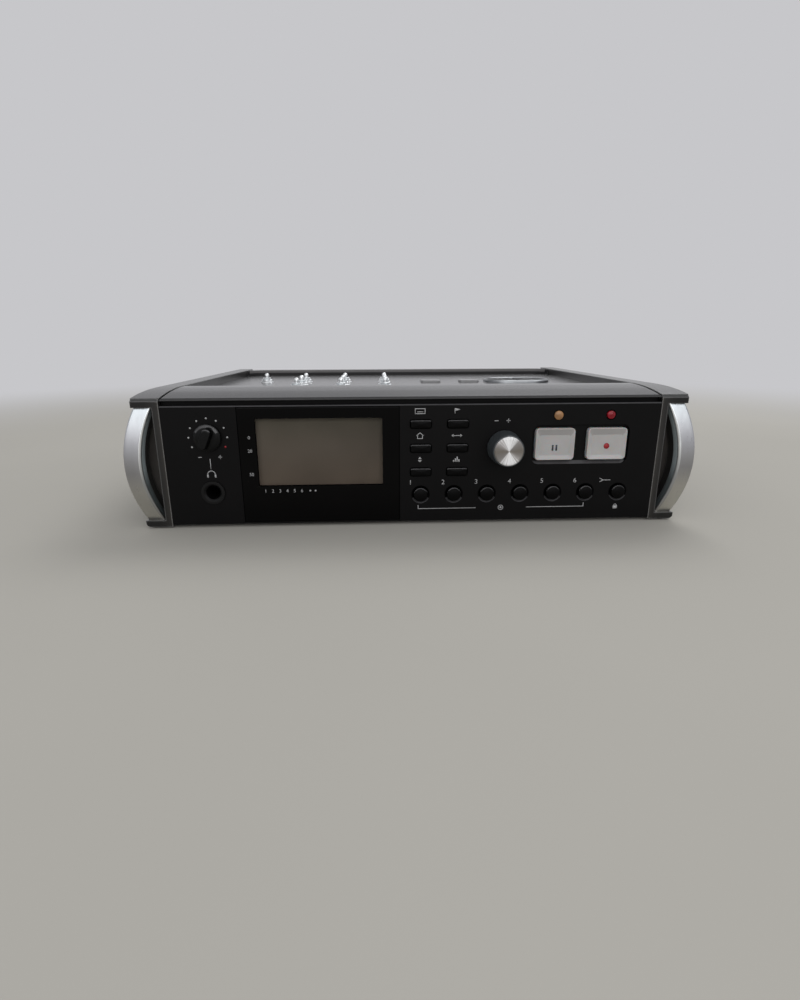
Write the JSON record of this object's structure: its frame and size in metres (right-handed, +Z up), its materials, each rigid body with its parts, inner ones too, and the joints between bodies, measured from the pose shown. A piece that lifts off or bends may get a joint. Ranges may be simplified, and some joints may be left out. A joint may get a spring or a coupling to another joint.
{
  "type": "portable multitrack recorder",
  "caption": "Portable field recorder with a flat front panel of keys, display, knob and dial, a sunken deck of toggles, side sockets and silver corner grab bars.",
  "frame": {"origin": "middle of the whole object's footprint, on the ground under the feet", "axes": "+X to the user's right, the front panel faces -Y, +Z up"},
  "size_m": [0.2584, 0.2026, 0.0638],
  "materials": {
    "tray_paint": "satin black paint on pressed steel",
    "cover_grey": "satin dark grey, fine grain",
    "panel_black": "satin black, fine grain",
    "frame_gunmetal": "gunmetal satin paint on moulded plastic",
    "bar_silver": "silver satin aluminium",
    "window_smoke": "glossy smoked acrylic",
    "display_glass": "switched-off display, dark olive",
    "board_green": "green circuit board",
    "cell_sleeve": "plain metal sleeve",
    "tray_plastic": "matte black plastic",
    "foot_rubber": "matte black rubber",
    "screw_black": "blackened steel",
    "plain_steel": "plain turned steel",
    "knob_black": "soft satin black",
    "cap_aluminium": "spun aluminium",
    "key_white": "milky white, satin gloss",
    "lamp_lens": "tinted lens",
    "toggle_chrome": "bright chrome",
    "jack_black": "black moulded plastic",
    "phono_metal": "nickel plated",
    "key_black": "satin black"
  },
  "bodies": {
    "case": {"bottom_tray": "tray_paint", "top_cover": "cover_grey", "front_panel": "panel_black", "left_side_frame": "frame_gunmetal", "right_side_frame": "frame_gunmetal", "left_grab_bar": "bar_silver", "right_grab_bar": "bar_silver", "left_jack_plate": "panel_black", "right_jack_plate": "panel_black", "display_window": "window_smoke", "lcd_module": "display_glass", "circuit_boards": "board_green", "battery_box": "key_black", "batteries": "cell_sleeve", "rubber_feet": "foot_rubber", "case_screws": "screw_black", "control_bodies": "plain_steel", "status_leds": "lamp_lens", "toggle_bodies": "toggle_chrome", "transport_trim": "toggle_chrome", "socket_bodies": "jack_black", "phono_jacks": "phono_metal"},
    "phones_control": {"phones_shaft": "plain_steel", "phones_knob": "knob_black"},
    "value_control": {"value_shaft": "plain_steel", "value_dial": "knob_black", "value_dial_cap": "cap_aluminium"},
    "function_key_1": {"function_key_1": "key_black"},
    "function_key_2": {"function_key_2": "key_black"},
    "function_key_3": {"function_key_3": "key_black"},
    "function_key_4": {"function_key_4": "key_black"},
    "function_key_5": {"function_key_5": "key_black"},
    "function_key_6": {"function_key_6": "key_black"},
    "pause_key": {"pause_key": "key_white"},
    "record_key": {"record_key": "key_white"},
    "track_key_1": {"track_key_1": "key_black"},
    "track_key_2": {"track_key_2": "key_black"},
    "track_key_3": {"track_key_3": "key_black"},
    "track_key_4": {"track_key_4": "key_black"},
    "track_key_5": {"track_key_5": "key_black"},
    "track_key_6": {"track_key_6": "key_black"},
    "mix_key": {"mix_key": "key_black"},
    "rewind_key": {"rewind_key": "key_black"},
    "forward_key": {"forward_key": "key_black"},
    "stop_key": {"stop_key": "key_black"},
    "play_key": {"play_key": "key_black"},
    "power_key": {"power_key": "key_black"},
    "menu_key": {"menu_key": "key_black"},
    "toggle_lever_1": {"toggle_lever_1": "toggle_chrome"},
    "toggle_lever_2": {"toggle_lever_2": "toggle_chrome"},
    "toggle_lever_3": {"toggle_lever_3": "toggle_chrome"},
    "toggle_lever_4": {"toggle_lever_4": "toggle_chrome"},
    "toggle_lever_5": {"toggle_lever_5": "toggle_chrome"},
    "toggle_lever_6": {"toggle_lever_6": "toggle_chrome"},
    "toggle_lever_7": {"toggle_lever_7": "toggle_chrome"},
    "toggle_lever_8": {"toggle_lever_8": "toggle_chrome"},
    "toggle_lever_9": {"toggle_lever_9": "toggle_chrome"},
    "toggle_lever_10": {"toggle_lever_10": "toggle_chrome"},
    "battery_door": {"battery_door": "tray_plastic"},
    "card_door": {"card_door": "tray_plastic"}
  },
  "joints": [
    {"name": "phones_turn", "type": "hinge", "parent": "case", "child": "phones_control", "pos_m": [-0.092, -0.09075, 0.0423], "axis": [0, 1, 0], "range_deg": [-174, 126]},
    {"name": "value_turn", "type": "hinge", "parent": "case", "child": "value_control", "pos_m": [0.0408, -0.09075, 0.0364], "axis": [0, 1, 0], "continuous": true},
    {"name": "function_1_press", "type": "slide", "parent": "case", "child": "function_key_1", "axis": [0, 1, 0], "range_m": [0, 0.0008], "stiffness_N_per_m": 900},
    {"name": "function_2_press", "type": "slide", "parent": "case", "child": "function_key_2", "axis": [0, 1, 0], "range_m": [0, 0.0008], "stiffness_N_per_m": 900},
    {"name": "function_3_press", "type": "slide", "parent": "case", "child": "function_key_3", "axis": [0, 1, 0], "range_m": [0, 0.0008], "stiffness_N_per_m": 900},
    {"name": "function_4_press", "type": "slide", "parent": "case", "child": "function_key_4", "axis": [0, 1, 0], "range_m": [0, 0.0008], "stiffness_N_per_m": 900},
    {"name": "function_5_press", "type": "slide", "parent": "case", "child": "function_key_5", "axis": [0, 1, 0], "range_m": [0, 0.0008], "stiffness_N_per_m": 900},
    {"name": "function_6_press", "type": "slide", "parent": "case", "child": "function_key_6", "axis": [0, 1, 0], "range_m": [0, 0.0008], "stiffness_N_per_m": 900},
    {"name": "pause_press", "type": "slide", "parent": "case", "child": "pause_key", "axis": [0, 1, 0], "range_m": [0, 0.0008], "stiffness_N_per_m": 900},
    {"name": "record_press", "type": "slide", "parent": "case", "child": "record_key", "axis": [0, 1, 0], "range_m": [0, 0.0008], "stiffness_N_per_m": 900},
    {"name": "track_1_press", "type": "slide", "parent": "case", "child": "track_key_1", "axis": [0, 1, 0], "range_m": [0, 0.0008], "stiffness_N_per_m": 900},
    {"name": "track_2_press", "type": "slide", "parent": "case", "child": "track_key_2", "axis": [0, 1, 0], "range_m": [0, 0.0008], "stiffness_N_per_m": 900},
    {"name": "track_3_press", "type": "slide", "parent": "case", "child": "track_key_3", "axis": [0, 1, 0], "range_m": [0, 0.0008], "stiffness_N_per_m": 900},
    {"name": "track_4_press", "type": "slide", "parent": "case", "child": "track_key_4", "axis": [0, 1, 0], "range_m": [0, 0.0008], "stiffness_N_per_m": 900},
    {"name": "track_5_press", "type": "slide", "parent": "case", "child": "track_key_5", "axis": [0, 1, 0], "range_m": [0, 0.0008], "stiffness_N_per_m": 900},
    {"name": "track_6_press", "type": "slide", "parent": "case", "child": "track_key_6", "axis": [0, 1, 0], "range_m": [0, 0.0008], "stiffness_N_per_m": 900},
    {"name": "mix_press", "type": "slide", "parent": "case", "child": "mix_key", "axis": [0, 1, 0], "range_m": [0, 0.0008], "stiffness_N_per_m": 900},
    {"name": "rewind_press", "type": "slide", "parent": "case", "child": "rewind_key", "axis": [0, 0, -1], "range_m": [0, 0.0008], "stiffness_N_per_m": 900},
    {"name": "forward_press", "type": "slide", "parent": "case", "child": "forward_key", "axis": [0, 0, -1], "range_m": [0, 0.0008], "stiffness_N_per_m": 900},
    {"name": "stop_press", "type": "slide", "parent": "case", "child": "stop_key", "axis": [0, 0, -1], "range_m": [0, 0.0008], "stiffness_N_per_m": 900},
    {"name": "play_press", "type": "slide", "parent": "case", "child": "play_key", "axis": [0, 0, -1], "range_m": [0, 0.0008], "stiffness_N_per_m": 900},
    {"name": "power_press", "type": "slide", "parent": "case", "child": "power_key", "axis": [0, 0, -1], "range_m": [0, 0.0008], "stiffness_N_per_m": 900},
    {"name": "menu_press", "type": "slide", "parent": "case", "child": "menu_key", "axis": [0, 0, -1], "range_m": [0, 0.0008], "stiffness_N_per_m": 900},
    {"name": "toggle_throw_1", "type": "hinge", "parent": "case", "child": "toggle_lever_1", "pos_m": [-0.061, -0.02475, 0.0588], "axis": [1, 0, 0], "range_deg": [0, 24]},
    {"name": "toggle_throw_2", "type": "hinge", "parent": "case", "child": "toggle_lever_2", "pos_m": [-0.0365, -0.02475, 0.0588], "axis": [1, 0, 0], "range_deg": [0, 24]},
    {"name": "toggle_throw_3", "type": "hinge", "parent": "case", "child": "toggle_lever_3", "pos_m": [-0.012, -0.02475, 0.0588], "axis": [1, 0, 0], "range_deg": [0, 24]},
    {"name": "toggle_throw_4", "type": "hinge", "parent": "case", "child": "toggle_lever_4", "pos_m": [-0.061, -0.00275, 0.0588], "axis": [1, 0, 0], "range_deg": [0, 24]},
    {"name": "toggle_throw_5", "type": "hinge", "parent": "case", "child": "toggle_lever_5", "pos_m": [-0.0365, -0.00275, 0.0588], "axis": [1, 0, 0], "range_deg": [0, 24]},
    {"name": "toggle_throw_6", "type": "hinge", "parent": "case", "child": "toggle_lever_6", "pos_m": [-0.012, -0.00275, 0.0588], "axis": [1, 0, 0], "range_deg": [0, 24]},
    {"name": "toggle_throw_7", "type": "hinge", "parent": "case", "child": "toggle_lever_7", "pos_m": [-0.061, 0.01925, 0.0588], "axis": [1, 0, 0], "range_deg": [0, 24]},
    {"name": "toggle_throw_8", "type": "hinge", "parent": "case", "child": "toggle_lever_8", "pos_m": [-0.0365, 0.01925, 0.0588], "axis": [1, 0, 0], "range_deg": [0, 24]},
    {"name": "toggle_throw_9", "type": "hinge", "parent": "case", "child": "toggle_lever_9", "pos_m": [-0.012, 0.01925, 0.0588], "axis": [1, 0, 0], "range_deg": [0, 24]},
    {"name": "toggle_throw_10", "type": "hinge", "parent": "case", "child": "toggle_lever_10", "pos_m": [-0.0855, 0.01925, 0.0588], "axis": [1, 0, 0], "range_deg": [0, 24]},
    {"name": "battery_door_lift", "type": "slide", "parent": "case", "child": "battery_door", "axis": [0, 0, -1], "range_m": [0, 0.015]},
    {"name": "card_door_swing", "type": "hinge", "parent": "case", "child": "card_door", "pos_m": [0.1206, -0.04075, 0.036], "axis": [0, 1, 0], "range_deg": [0, 110]}
  ]
}
